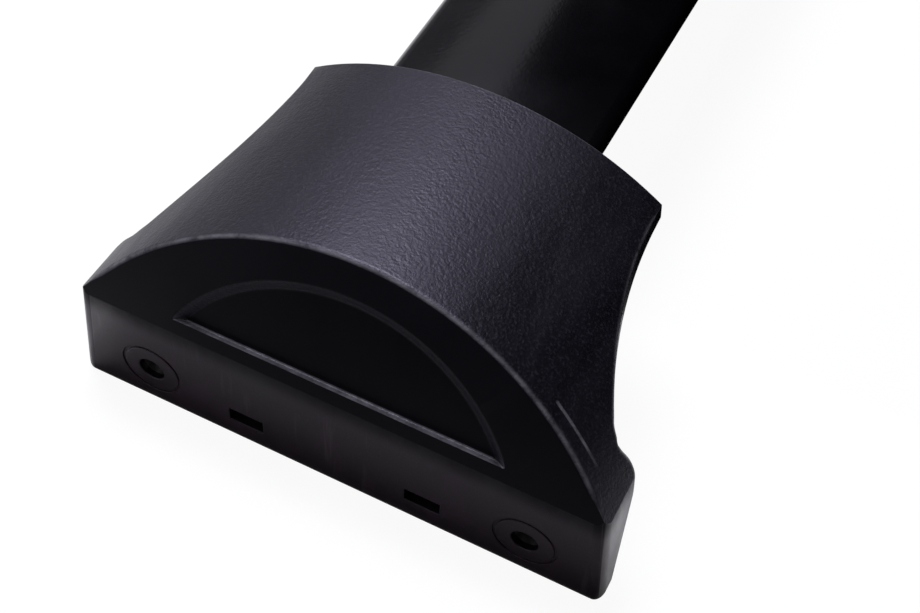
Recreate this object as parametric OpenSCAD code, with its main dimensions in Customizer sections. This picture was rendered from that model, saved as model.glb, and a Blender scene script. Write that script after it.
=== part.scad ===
// Roof rack crossbar: a hollow oval bar carried by a moulded foot at each end.
// X runs along the vehicle, Y along the bar and Z up. The origin is at the middle
// of the bar, on the surface that the feet stand on. Millimetres and degrees.

/* [Crossbar] */
// Length between the two mounting faces
bar_length = 1000; // [700:10:1300]
// Width of the oval bar
bar_w = 61.5; // [54:0.5:68]
// Thickness of the oval bar at its middle
bar_h = 18; // [16:0.5:19]
// Radius of the bar's rounded edges
bar_nose_r = 5; // [3:0.5:6]
// Wall of the bar
bar_wall = 2; // [1.5:0.1:2.5]
// Height of the bar's centre above the ground of the feet
bar_z = 57; // [56:0.5:57.5]
// How far the end of the bar stays behind the mounting face
bar_setback = 27; // [24:1:34]

/* [Foot outline] */
// Width of the foot at its bottom edge
foot_w = 153; // [144:1:166]
// Reach of the foot from the mounting face to its mouth
foot_reach = 82; // [74:1:95]
// Width of the arm at its lower edge, where it takes the bar
arm_w = 102; // [94:1:108]
// Straight length of the arm's sides before they flare
mouth_straight = 3; // [2:0.5:10]
// Depth of the foot behind its mounting face, at the two toes
toe_depth = 19.6; // [17:0.2:24]
// Radius of the hollow between each toe and the flared side
toe_r = 5.5; // [4:0.5:9]
// Radius of the toes' back corners
toe_corner_r = 3.5; // [2.5:0.25:5]
// Radius of the upright front corners
front_corner_r = 3; // [1:0.5:4]
// Radius of the bottom corners
bottom_corner_r = 3; // [1.5:0.5:6]
// Draft of the end faces and of the flared sides
end_draft = 5; // [4:0.5:7]

/* [Top of the foot] */
// Radius of the arched top
arch_r = 88.5; // [84:0.5:95]
// Height of the arch above the ground at the face
arch_top = 72.5; // [71.5:0.5:76]
// Slope of the arch down towards the mouth
arch_fall = 2; // [0:0.25:2.5]
// Height of the upright mounting strip
strip_h = 34; // [31:0.5:37]
// Lean of the face above the strip
face_lean = 21; // [15:0.2:24]
// Radius of the recess in the face
recess_r = 52.4; // [46:0.2:58]
// Height of the recess's flat lower edge above the strip
recess_low = 4; // [3:0.25:8]
// Height of the recess's crown above the strip
recess_high = 30.7; // [26:0.1:35]
// Depth of the recess
recess_depth = 1.8; // [1:0.2:2.4]

/* [Underside of the foot] */
// Height of the arm's lower edge at the mouth
skirt_z = 50; // [48:0.5:51]
// Rise of the arm's lower edge towards the mouth
skirt_rise = 5.5; // [3:0.5:7]
// Lean of the back edge, from the bottom of the strip upwards
back_lean = 24; // [20:0.5:26]
// Radius between the back edge and the arm's lower edge
gusset_r = 12; // [8:0.5:16]
// Height up to which the back stays open for the bolts
bolt_bay_h = 27; // [25:0.5:31]

/* [Walls] */
// Wall of the moulded housing
wall = 3; // [2.4:0.2:3.4]
// Wall behind the mounting strip
strip_wall = 4.5; // [3.6:0.1:5]
// Wall of the face, measured from its outside
face_wall = 4.5; // [4:0.2:5.5]
// Wall round the bar at the mouth
mouth_wall = 3; // [2.4:0.2:4]
// Thickness of the base plate
base_t = 2.5; // [2:0.25:3]
// Wall of the cradle under the bar
cradle_t = 4; // [3.5:0.25:4.5]
// Thickness of the ribs
rib_t = 2; // [1.5:0.25:2.5]

/* [Mounting holes] */
// Distance between the two bolt holes
bolt_spacing = 108; // [96:1:114]
// Height of the bolt holes
bolt_z = 12.4; // [11.5:0.2:13.5]
// Diameter of the bolt holes
bolt_hole_d = 7.5; // [6.5:0.25:8.5]
// Diameter of the bosses round the bolt holes
bolt_boss_d = 18; // [17:0.5:19]
// Outer diameter of the steel sleeves
sleeve_d = 11.4; // [10.5:0.2:13]
// Diameter of the shallow ring round each bolt hole
ring_d = 17.6; // [15:0.2:19]
// Width of that ring
ring_w = 0.7; // [0.4:0.1:1]
// Depth of that ring
ring_depth = 0.4; // [0.2:0.1:0.6]
// Distance between the centres of the two slots
slot_spacing = 51.3; // [46:0.5:56]
// Width of each slot
slot_w = 10; // [8:0.5:12]
// Height of each slot
slot_h = 4.8; // [4.4:0.2:6]
// Height of the slots' centre
slot_z = 8.5; // [7.5:0.25:9.5]

/* [Bracket and fasteners] */
// Thickness of the folded steel bracket
bracket_t = 3; // [2.5:0.5:3.5]
// Width of the bracket's tongue inside the bar
tongue_w = 42; // [36:1:43]
// Length of the tongue inside the bar
tongue_l = 36; // [30:1:44]
// Width of the bracket's flange behind the strip
flange_w = 128; // [124:1:134]
// Inner radius of the bracket's bends
bend_r = 4; // [3:0.5:5]
// Distance between the two screws that hold the bar
bar_screw_spacing = 28; // [22:1:32]
// Distance of those screws from the mounting face
bar_screw_y = 50; // [44:1:56]
// Diameter of those screws
bar_screw_d = 6; // [5:0.5:6]
// Diameter of the base screws
base_screw_d = 3; // [2.5:0.25:3.5]
// Length of the base screws
base_screw_l = 6.5; // [6:0.5:7.5]

/* [Fits] */
// Gap between moulded parts, and between the housing and the bar
gap = 0.3; // [0.2:0.05:0.4]
// Thickness of the rubber seal round the bar
seal_t = 1.5; // [1:0.1:1.8]
// Depth of the seal along the bar
seal_d = 5; // [3:0.5:6]

/* [Hidden] */
$fn = 128;
far = 400;
// Arcs that blend into a line or a larger arc reach past it by this much.
bite = 0.02;
// Cutting shapes reach past a face by this much.
past = 1;
half_foot = foot_w / 2;
half_arm = arm_w / 2;

// Inner corners are rounded by at least this much.
least_r = 0.5;

// The flared side is one arc, tangent to the arm's side and to the toe's hollow.
// The plan's sizes hold at the top of the strip.
draft_tan = tan(end_draft);
flare_y = foot_reach - mouth_straight;
toe_x = half_foot - strip_h * draft_tan - toe_corner_r;
arm_x = half_arm + (skirt_z - strip_h) * draft_tan;
flare_out = toe_x - arm_x;
flare_back = flare_y - toe_depth;
flare_r = (pow(flare_out, 2) + pow(flare_back, 2) - 2 * flare_back * toe_r)
    / (2 * (flare_out - toe_r));
flare_angle = asin((flare_back - toe_r) / (flare_r - toe_r));

// The side view's two lower edges meet at the gusset corner.
back_tan = tan(back_lean);
rise_tan = tan(skirt_rise);
gusset_y = (strip_wall + (skirt_z - foot_reach * rise_tan) * back_tan)
    / (1 - rise_tan * back_tan);
gusset_z = (gusset_y - strip_wall) / back_tan;
gusset_half = (90 + back_lean + skirt_rise) / 2;
gusset_mid = skirt_rise - gusset_half;
gusset_cy = gusset_y + gusset_r / sin(gusset_half) * cos(gusset_mid);
gusset_cz = gusset_z + gusset_r / sin(gusset_half) * sin(gusset_mid);

// The oval bar's broad faces are arcs, tangent to its rounded edges.
nose_x = bar_w / 2 - bar_nose_r;
crown_r = (pow(nose_x, 2) + pow(bar_h / 2, 2) - pow(bar_nose_r, 2))
    / (bar_h - 2 * bar_nose_r);
crown_x = nose_x * crown_r / (crown_r - bar_nose_r);

// Places along the foot, from the mounting face inwards.
boss_rise = 1;
boss_y = strip_wall + boss_rise;
flange_y = boss_y + bracket_t;
face_y = (arch_top - strip_h) * tan(face_lean);
sleeve_y = 2;
mouth_y = foot_reach - mouth_wall;
seal_y = foot_reach - seal_d;
seal_out = gap + seal_t;

cradle_y = bar_setback - 3;
insert_cap = 1.5;
insert_l = tongue_l - 2;

// A rib behind the end of the bar stops it, and two gussets stiffen the toes.
stop_y = bar_setback - insert_cap - gap;
stop_low = bar_z + 2;
gusset_x = half_foot - toe_depth + 1;
plate_x = gusset_x + rib_t;

// The bracket is folded from a flange in the bolt bay up to a tongue in the bar.
flange_low = 4;
flange_top = bolt_bay_h - 3;
flange_corner_r = 4;
fold_lap = 0.4;
slot_play = 1;
tongue_drop = 2.5;
tongue_z = bar_z - tongue_drop;
tongue_end = bar_setback + tongue_l;
neck_y = bar_setback - 7;
neck_z = bolt_bay_h;

// Heads and sockets of the screws, as shares of the thread's diameter.
head_wide = 1.8;
head_high = 0.55;
socket_wide = 0.75;
socket_deep = 0.35;

// Screw heads sit on flat seats under the base.
bar_seat_rim = 1;
bar_seat_z = bar_z - bar_h / 2 - gap - cradle_t - 0.2;
bar_screw_top = tongue_z + bracket_t / 2 + 2;
base_boss_d = base_screw_d * 2.7;
mouth_inset = 13;
toe_inset = 17;
screw_back = 14;
mouth_screw = [half_arm - mouth_inset, foot_reach - screw_back];
toe_screw = [plate_x - toe_inset, toe_depth + screw_back];
base_screws = [for (p = [mouth_screw, toe_screw], side = [1, -1]) [side * p.x, p.y]];
base_seat_rise = 0.6;
tip_play = 0.5;
thread_play = 0.1;

function skirt_at(y) = skirt_z - (foot_reach - y) * rise_tan;
function base_seat_z(i) = skirt_at(base_screws[i].y) + base_seat_rise;

// Stands a plan drawn in X and Z upright, from y0 towards the mouth.
module upright(y0, y1) {
    translate([0, y1, 0]) rotate([90, 0, 0]) linear_extrude(y1 - y0) children();
}

// Carries a side view drawn in Y and Z across the width.
module across(width) {
    rotate([90, 0, 90]) linear_extrude(width, center = true) children();
}

// Each foot is drawn with its mounting face at Y = 0 and its mouth at +Y.
module left_end() {
    translate([0, -bar_length / 2, 0]) children();
}

module right_end() {
    rotate(180) left_end() children();
}

// Oval section of the bar, grown by a named amount all round.
module bar_section(grow = 0) {
    translate([0, bar_z]) {
        intersection() {
            translate([0, bar_h / 2 - crown_r]) circle(crown_r + grow, $fn = 360);
            translate([0, crown_r - bar_h / 2]) circle(crown_r + grow, $fn = 360);
            square([2 * crown_x, bar_h + 4 * grow], center = true);
        }
        for (side = [-1, 1]) translate([side * nose_x, 0]) circle(bar_nose_r + grow);
    }
}

// Plan of the block behind the mounting strip, from the middle out to one end.
module toe_plan(inset = 0) {
    end_x = half_foot - inset / cos(end_draft);
    back = toe_depth - inset;
    back_r = max(toe_corner_r - inset, least_r);
    front_r = max(front_corner_r - inset, least_r);
    square([end_x - back_r, back]);
    translate([0, front_r]) square([end_x, back - back_r - front_r]);
    translate([end_x - back_r, back - back_r]) circle(back_r);
    translate([end_x - front_r, front_r]) circle(front_r);
}

// Round cutter that widens upwards with the draft, from radius r at the strip's top.
module draft_round(r) {
    tall = 2 * arch_top;
    cylinder(r1 = r - strip_h * draft_tan, r2 = r + (tall - strip_h) * draft_tan, h = tall, $fn = 720);
}

// Arm and its flared sides, between the toes, inset by a wall.
module arm_walls(inset = 0) {
    tall = 2 * arch_top;
    for (side = [0, 1]) mirror([side, 0, 0]) difference() {
        cube([toe_x, foot_reach, tall]);
        translate([arm_x + flare_r, flare_y, 0]) intersection() {
            draft_round(flare_r + inset);
            linear_extrude(tall) rotate(flare_angle) translate([-far, 0]) square(far);
        }
        translate([toe_x, toe_depth + toe_r, 0]) draft_round(toe_r + inset + bite);
        translate([arm_x - inset, flare_y - past, strip_h]) rotate([0, -end_draft, 0])
            translate([0, 0, -foot_w]) cube([far, far, far]);
    }
}

// Walls of the foot: the arm, and a block behind the strip whose ends lean in.
module foot_walls(inset = 0) {
    arm_walls(inset);
    for (side = [0, 1]) mirror([side, 0, 0])
        translate([half_foot, 0, 0]) rotate([0, -end_draft, 0])
            translate([-half_foot, 0, -strip_h / 2]) linear_extrude(2 * arch_top) toe_plan(inset);
}

// Corner cut off below each end, seen from the front.
module bottom_corner() {
    r = bottom_corner_r;
    edge_x = half_foot - r * draft_tan - r / cos(end_draft);
    top = r + r * sin(end_draft);
    difference() {
        translate([edge_x, -past]) square([2 * r, top + past]);
        translate([edge_x, r]) circle(r);
        translate([edge_x - past, r]) square([past + r * cos(end_draft), 2 * r]);
    }
}

// Everything that lies under the foot, grown into it by a wall.
module underside(grow = 0) {
    r = gusset_r + grow;
    out_y = 2 * foot_reach;
    low = -strip_h / 4;
    across(2 * foot_w) polygon([
        [strip_wall - grow / cos(back_lean) + low * back_tan, low],
        [gusset_cy - r * cos(back_lean), gusset_cz + r * sin(back_lean)],
        [gusset_cy, gusset_cz],
        [gusset_cy - r * sin(skirt_rise), gusset_cz + r * cos(skirt_rise)],
        [out_y, skirt_at(out_y) + grow / cos(skirt_rise)],
        [out_y, low]
    ]);
    across(2 * foot_w) translate([gusset_cy, gusset_cz]) circle(r + bite);
}

// Space between the front faces and the mouth, inset by their walls.
module face_to_mouth(strip_in = 0, face_in = 0, mouth = foot_reach, low = 0) {
    top = 2 * arch_top;
    face_at = face_in / cos(face_lean);
    across(2 * foot_w) polygon([
        [strip_in, low],
        [strip_in, strip_h + (strip_in - face_at) / tan(face_lean)],
        [face_at + (top - strip_h) * tan(face_lean), top],
        [mouth, top],
        [mouth, low]
    ]);
}

// Arched top, falling towards the mouth.
module arch(inset = 0) {
    translate([0, face_y, arch_top]) rotate([-arch_fall, 0, 0])
        translate([0, 0, -arch_r]) rotate([90, 0, 0])
            cylinder(r = arch_r - inset, h = 3 * foot_reach, center = true, $fn = 720);
}

// Solid envelope of the foot.
module foot_envelope() {
    difference() {
        intersection() {
            arch();
            foot_walls();
            face_to_mouth();
        }
        underside();
        for (side = [0, 1]) mirror([side, 0, 0]) upright(-past, foot_reach) bottom_corner();
    }
}

// Hollow of the foot, open downwards and closed at the mouth by a wall.
module foot_hollow() {
    intersection() {
        arch(wall);
        foot_walls(wall);
        face_to_mouth(strip_wall, face_wall, mouth_y, -strip_h / 4);
    }
}

// What stays standing in the hollow: ribs beside the bar, a stop behind its end,
// gussets behind the face, and bosses for the base screws.
module inner_ribs() {
    rib_x = bar_w / 2 + gap;
    difference() {
        union() {
            for (side = [0, 1]) mirror([side, 0, 0]) {
                translate([rib_x, 0, 0]) cube([rib_t, foot_reach, arch_top]);
                translate([gusset_x, 0, 0]) cube([rib_t, toe_depth + toe_r, arch_top]);
            }
            translate([-rib_x, stop_y - rib_t, stop_low]) cube([2 * rib_x, rib_t, arch_top]);
            for (p = base_screws) translate([p.x, p.y, 0]) cylinder(d = base_boss_d, h = arch_top);
        }
        underside(base_t + gap);
        translate([-foot_w, 0, 0]) cube([2 * foot_w, foot_reach, bolt_bay_h + gap]);
    }
}

module base_screw_hole(i, r, l) {
    translate([base_screws[i].x, base_screws[i].y, base_seat_z(i)]) cylinder(r = r, h = l);
}

// Holes for the bolts, at both sides of the strip.
module at_bolts() {
    for (side = [-1, 1]) translate([side * bolt_spacing / 2, 0, bolt_z]) rotate([-90, 0, 0]) children();
}

module at_slots(grow, y0, y1) {
    for (side = [-1, 1])
        translate([side * slot_spacing / 2 - slot_w / 2 - grow, y0, slot_z - slot_h / 2 - grow])
            cube([slot_w + 2 * grow, y1 - y0, slot_h + 2 * grow]);
}

// Flat-bottomed recess in the leaning face, a segment of a circle.
module face_recess() {
    translate([0, 0, strip_h]) rotate([-face_lean, 0, 0]) upright(-face_wall, recess_depth) intersection() {
        translate([0, recess_high - recess_r]) circle(recess_r, $fn = 360);
        translate([-recess_r, recess_low]) square([2 * recess_r, recess_r]);
    }
}

// Moulded shell of the foot: arched hood, leaning face and mounting strip.
module housing() {
    color("#2b2b30") difference() {
        union() {
            difference() {
                foot_envelope();
                difference() {
                    foot_hollow();
                    inner_ribs();
                }
            }
            at_bolts() cylinder(d = bolt_boss_d, h = boss_y);
        }
        face_recess();
        at_slots(0, -past, strip_wall + past);
        at_bolts() {
            translate([0, 0, -past]) cylinder(d = bolt_hole_d, h = boss_y + 2 * past);
            translate([0, 0, sleeve_y]) cylinder(d = sleeve_d + gap, h = boss_y);
            translate([0, 0, -past]) difference() {
                cylinder(d = ring_d, h = past + ring_depth);
                cylinder(d = ring_d - 2 * ring_w, h = far);
            }
        }
        for (i = [0:3]) base_screw_hole(i, base_screw_d / 2 + thread_play, base_screw_l + tip_play);
        upright(mouth_y - past, foot_reach + past) bar_section(gap);
        upright(seal_y, foot_reach + past) bar_section(seal_out);
    }
}

// Base plate that closes the underside, with the cradle that carries the bar.
module base() {
    color("#232327") difference() {
        union() {
            difference() {
                intersection() {
                    arch(wall + gap);
                    foot_walls(wall + gap);
                    translate([-plate_x, 0, bolt_bay_h])
                        cube([2 * plate_x, mouth_y - gap, arch_top]);
                    underside(base_t);
                }
                underside();
            }
            intersection() {
                upright(cradle_y, mouth_y - gap) bar_section(gap + cradle_t);
                underside(base_t);
            }
            intersection() {
                upright(mouth_y - gap - past, foot_reach) bar_section(gap + cradle_t);
                underside(-gap);
            }
            at_bar_screws() translate([0, 0, bar_seat_z])
                cylinder(d = bar_screw_d * head_wide + 2 * bar_seat_rim, h = cradle_t);
        }
        upright(0, foot_reach + past) bar_section(gap);
        upright(seal_y, foot_reach + past) bar_section(seal_out);
        at_bar_screws() translate([0, 0, bar_seat_z - past]) cylinder(d = bar_screw_d + 2 * gap, h = far);
        for (i = [0:3]) {
            base_screw_hole(i, base_screw_d / 2 + gap, base_screw_l);
            translate([base_screws[i].x, base_screws[i].y, base_seat_z(i) - far])
                cylinder(d = base_screw_d * head_wide + 2 * gap, h = far);
        }
    }
}

module at_bar_screws() {
    for (side = [-1, 1]) translate([side * bar_screw_spacing / 2, bar_screw_y, 0]) children();
}

// Fold in the bracket's sheet, from angle a0 up to a1.
module bend(a0, a1) {
    across(tongue_w) intersection() {
        difference() {
            circle(bend_r + bracket_t + bite);
            circle(bend_r - bite);
        }
        polygon([[0, 0], foot_w * [cos(a0), sin(a0)], foot_w * [cos(a1), sin(a1)]]);
    }
}

// Flat run of the bracket's sheet, lapping into the folds at its ends.
module run(l) {
    across(tongue_w) translate([-fold_lap, -bracket_t / 2]) square([l + 2 * fold_lap, bracket_t]);
}

// Neck and tongue of the bracket: three flat runs of one strip, joined by two folds.
module bracket_fold() {
    centre_r = bend_r + bracket_t / 2;
    up_y = boss_y + bracket_t / 2;
    slope = atan2(tongue_z - neck_z, neck_y - up_y);
    low_run = centre_r * tan((90 - slope) / 2);
    high_run = centre_r * tan(slope / 2);
    slope_l = norm([neck_y - up_y, tongue_z - neck_z]) - low_run - high_run;
    translate([0, up_y, bolt_z]) rotate([90, 0, 0]) run(neck_z - low_run - bolt_z);
    translate([0, up_y + centre_r, neck_z - low_run]) bend(90 + slope, 180);
    translate([0, up_y, neck_z]) rotate([slope, 0, 0]) translate([0, low_run, 0]) run(slope_l);
    translate([0, neck_y + high_run, tongue_z - centre_r]) bend(90, 90 + slope);
    translate([0, neck_y + high_run, tongue_z]) run(tongue_end - neck_y - high_run - fold_lap);
}

// Flange of the bracket seen from the front, with rounded corners.
module bracket_flange() {
    inner_x = flange_w / 2 - flange_corner_r;
    low = flange_low + flange_corner_r;
    top = flange_top - flange_corner_r;
    for (side = [-1, 1], z = [low, top]) translate([side * inner_x, z]) circle(flange_corner_r);
    translate([-flange_w / 2, low]) square([flange_w, top - low]);
    translate([-inner_x, flange_low]) square([2 * inner_x, flange_top - flange_low]);
}

// Folded steel bracket: flange bolted behind the strip, tongue inside the bar.
module bracket() {
    color("#8d9095") difference() {
        union() {
            upright(boss_y, flange_y) bracket_flange();
            bracket_fold();
        }
        at_bolts() cylinder(d = bolt_hole_d, h = foot_reach);
        at_slots(slot_play, 0, flange_y + past);
        at_bar_screws() translate([0, 0, tongue_z - bracket_t])
            cylinder(d = bar_screw_d + gap, h = 2 * bracket_t);
    }
}

// Moulded insert that closes the end of the bar round the tongue.
module tube_insert() {
    color("#1d1d20") difference() {
        union() {
            upright(bar_setback, bar_setback + insert_l) bar_section(-bar_wall - gap);
            upright(bar_setback - insert_cap, bar_setback) bar_section(-gap);
        }
        translate([-tongue_w / 2 - gap, 0, tongue_z - bracket_t / 2 - gap])
            cube([tongue_w + 2 * gap, foot_reach, bracket_t + 2 * gap]);
        at_bar_screws() cylinder(d = bar_screw_d + 2 * gap, h = bar_screw_top + gap);
    }
}

// Rubber seal round the bar at the mouth.
module mouth_seal() {
    color("#141415") upright(seal_y, foot_reach - gap) difference() {
        bar_section(seal_out - gap / 2);
        bar_section(gap / 2);
    }
}

// Steel sleeve pressed into the strip, so that the bolt doesn't crush it.
module sleeve(side) {
    color("#b4b7bb") translate([side * bolt_spacing / 2, sleeve_y, bolt_z]) rotate([-90, 0, 0])
        difference() {
            cylinder(d = sleeve_d, h = boss_y - sleeve_y);
            translate([0, 0, -past]) cylinder(d = bolt_hole_d, h = boss_y + past);
        }
}

// Pan-head screw, its head down, with a hexagon socket.
module pan_screw(d, l) {
    head_h = d * head_high;
    difference() {
        union() {
            translate([0, 0, -head_h]) cylinder(d = d * head_wide, h = head_h);
            cylinder(d = d, h = l);
        }
        translate([0, 0, -head_h - past])
            cylinder(d = d * socket_wide, h = past + d * socket_deep, $fn = 6);
    }
}

// Screw that holds the bar to its cradle and to the bracket's tongue.
module bar_screw(side) {
    color("#a3a6aa") translate([side * bar_screw_spacing / 2, bar_screw_y, bar_seat_z])
        pan_screw(bar_screw_d, bar_screw_top - bar_seat_z);
}

// Small screw that holds the base plate to the housing.
module base_screw(i) {
    color("#a3a6aa") translate([base_screws[i].x, base_screws[i].y, base_seat_z(i)])
        pan_screw(base_screw_d, base_screw_l);
}

// Oval bar, a black powder-coated aluminium tube drilled near its ends.
module crossbar_tube() {
    half = bar_length / 2 - bar_setback;
    color("#18181a") difference() {
        upright(-half, half) difference() {
            bar_section();
            bar_section(-bar_wall);
        }
        for (turn = [0, 180]) rotate(turn) left_end() at_bar_screws()
            cylinder(d = bar_screw_d + 2 * gap, h = bar_z);
    }
}

crossbar_tube();
left_end() housing();  // left_housing
left_end() base();  // left_base
left_end() bracket();  // left_bracket
left_end() tube_insert();  // left_tube_insert
left_end() mouth_seal();  // left_mouth_seal
left_end() sleeve(1);  // left_front_sleeve
left_end() sleeve(-1);  // left_rear_sleeve
left_end() bar_screw(1);  // left_front_bar_screw
left_end() bar_screw(-1);  // left_rear_bar_screw
left_end() base_screw(0);  // left_base_screw_1
left_end() base_screw(1);  // left_base_screw_2
left_end() base_screw(2);  // left_base_screw_3
left_end() base_screw(3);  // left_base_screw_4
right_end() housing();  // right_housing
right_end() base();  // right_base
right_end() bracket();  // right_bracket
right_end() tube_insert();  // right_tube_insert
right_end() mouth_seal();  // right_mouth_seal
right_end() sleeve(-1);  // right_front_sleeve
right_end() sleeve(1);  // right_rear_sleeve
right_end() bar_screw(-1);  // right_front_bar_screw
right_end() bar_screw(1);  // right_rear_bar_screw
right_end() base_screw(0);  // right_base_screw_1
right_end() base_screw(1);  // right_base_screw_2
right_end() base_screw(2);  // right_base_screw_3
right_end() base_screw(3);  // right_base_screw_4
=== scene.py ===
import math
from functools import partial

import bmesh
import bpy
from mathutils import Matrix, Vector


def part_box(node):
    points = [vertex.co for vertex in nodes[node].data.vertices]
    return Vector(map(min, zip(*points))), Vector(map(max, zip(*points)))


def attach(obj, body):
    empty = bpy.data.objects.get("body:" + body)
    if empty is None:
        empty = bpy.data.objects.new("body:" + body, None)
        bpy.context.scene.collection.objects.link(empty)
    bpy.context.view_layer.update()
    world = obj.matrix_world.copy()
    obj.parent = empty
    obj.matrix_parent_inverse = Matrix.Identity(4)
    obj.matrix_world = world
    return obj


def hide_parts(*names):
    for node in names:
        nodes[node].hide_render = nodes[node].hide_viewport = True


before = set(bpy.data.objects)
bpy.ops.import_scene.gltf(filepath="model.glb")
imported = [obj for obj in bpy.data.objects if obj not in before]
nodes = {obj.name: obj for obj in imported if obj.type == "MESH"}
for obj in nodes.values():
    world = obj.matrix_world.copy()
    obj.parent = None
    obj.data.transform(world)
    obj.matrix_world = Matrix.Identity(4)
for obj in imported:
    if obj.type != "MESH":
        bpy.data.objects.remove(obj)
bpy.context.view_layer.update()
SIDES = ("left", "right")
MM = 0.001


# Crossbar tube.
# The load-carrying bar: one length of oval aluminium extrusion, open at both ends,
# drilled for the clamping screws and then powder coated in satin black. The coat is
# slightly uneven, like fine orange peel, and carries a little handling dust.

def add_node(tree, kind, inputs=None, **settings):
    """Adds a node. An input is a plain value, or the output socket that feeds it."""
    node = tree.nodes.new(kind)
    for name, value in settings.items():
        setattr(node, name, value)
    for key, value in (inputs or {}).items():
        if isinstance(value, bpy.types.NodeSocket):
            tree.links.new(value, node.inputs[key])
        else:
            node.inputs[key].default_value = value
    return node


def calculate(tree, operation, *values, clamp=False):
    """The result of one sum on plain values and sockets."""
    node = add_node(tree, "ShaderNodeMath", dict(enumerate(values)),
                    operation=operation, use_clamp=clamp)
    return node.outputs[0]


def per_metre(tree, size_mm):
    """A pattern's scale, from the size of its marks in millimetres."""
    return calculate(tree, "DIVIDE", 1000.0, size_mm)


def map_range(tree, value, low, high, to_low=0.0, to_high=1.0, curve="LINEAR"):
    """Carries the stretch from low to high over to another stretch, and holds its ends."""
    node = add_node(tree, "ShaderNodeMapRange",
                    {"Value": value, "From Min": low, "From Max": high,
                     "To Min": to_low, "To Max": to_high}, interpolation_type=curve)
    return node.outputs[0]


def mix_colour(tree, share, one, two):
    """A colour that goes from one to two as the share goes from 0 to 1."""
    node = add_node(tree, "ShaderNodeMix", {"Factor": share, 6: one, 7: two}, data_type="RGBA")
    return node.outputs[2]


def noise(tree, vector, scale, detail, roughness=0.5):
    """A cloudy pattern, from 0 to 1, with this many marks to the metre."""
    node = add_node(tree, "ShaderNodeTexNoise",
                    {"Vector": vector, "Scale": scale, "Detail": detail, "Roughness": roughness})
    return node.outputs["Fac"]


def new_group(name, inputs, outputs):
    """Starts a shader node group. An input with no first value is a vector."""
    kinds = {type(None): "NodeSocketVector", float: "NodeSocketFloat", tuple: "NodeSocketColor"}
    group = bpy.data.node_groups.new(name, "ShaderNodeTree")
    for title, value in inputs.items():
        socket = group.interface.new_socket(name=title, in_out="INPUT",
                                            socket_type=kinds[type(value)])
        if value is not None:
            socket.default_value = value
    for title, kind in outputs.items():
        group.interface.new_socket(name=title, in_out="OUTPUT", socket_type=kind)
    entry = add_node(group, "NodeGroupInput")
    exit_node = add_node(group, "NodeGroupOutput")
    return group, entry.outputs, exit_node


def put_out(group, exit_node, **results):
    """Joins a group's results to its outputs."""
    for title, result in results.items():
        group.links.new(result, exit_node.inputs[title])


def use_group(tree, group, **values):
    """Places a group in a material and gives it this material's values."""
    inputs = {title.replace("_", " "): value for title, value in values.items()}
    return add_node(tree, "ShaderNodeGroup", inputs, node_tree=group)


def new_finish(name, metallic=0.0, specular=0.5):
    """A material with one Principled shader, and Object coordinates in metres."""
    material = bpy.data.materials.new(name)
    material.use_nodes = True
    tree = material.node_tree
    shader = tree.nodes["Principled BSDF"]
    shader.inputs["Metallic"].default_value = metallic
    shader.inputs["Specular IOR Level"].default_value = specular
    place = add_node(tree, "ShaderNodeTexCoord").outputs["Object"]
    return material, tree, shader, place


def dress(tree, shader, marks, relief, strength, depth, colour=None):
    """Joins a finish's marks and its relief to the shader. The depth is in metres."""
    bump = add_node(tree, "ShaderNodeBump",
                    {"Height": relief, "Strength": strength, "Distance": depth})
    tree.links.new(colour or marks.outputs["Color"], shader.inputs["Base Color"])
    tree.links.new(marks.outputs["Roughness"], shader.inputs["Roughness"])
    tree.links.new(bump.outputs[0], shader.inputs["Normal"])


def set_material(obj, material):
    """Gives the object this material and no other."""
    obj.data.materials.clear()
    obj.data.materials.append(material)


def handling_marks_group():
    """Faint dust and finger marks: soft clouds of tone, and a roughness that follows."""
    group, given, exit_node = new_group(
        "handling_marks",
        {"Vector": None, "Cloud Size mm": 25.0, "Base": (0.02, 0.02, 0.02, 1),
         "Dusty": (0.03, 0.03, 0.03, 1), "Roughness": 0.5, "Roughness Spread": 0.08},
        {"Color": "NodeSocketColor", "Roughness": "NodeSocketFloat"})
    clouds = noise(group, given["Vector"], per_metre(group, given["Cloud Size mm"]), 6.0, 0.62)
    dust = map_range(group, clouds, 0.38, 0.66)
    swing = calculate(group, "ADD", dust, -0.5)
    put_out(group, exit_node,
            Color=mix_colour(group, dust, given["Base"], given["Dusty"]),
            Roughness=calculate(group, "MULTIPLY_ADD", swing, given["Roughness Spread"],
                                given["Roughness"]))
    return group


handling_marks = handling_marks_group()

powder_coat, tree, shader, place = new_finish("powder_coat", specular=0.25)
shader.inputs["Specular Tint"].default_value = (0.88, 0.85, 1.0, 1)
marks = use_group(tree, handling_marks, Vector=place, Cloud_Size_mm=45.0,
                  Base=(0.0008, 0.0008, 0.0012, 1), Dusty=(0.0016, 0.0016, 0.0021, 1),
                  Roughness=0.20, Roughness_Spread=0.06)
orange_peel = noise(tree, place, scale=900.0, detail=2.0)
dress(tree, shader, marks, orange_peel, strength=0.35, depth=0.06 * MM)
set_material(nodes["crossbar_tube"], powder_coat)


# Tube inserts.
# A solid moulded plug closes each end of the bar round the bracket's tongue. It is the
# same black plastic as the base, plain from a polished mould, with faint cloudy marks.

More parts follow.
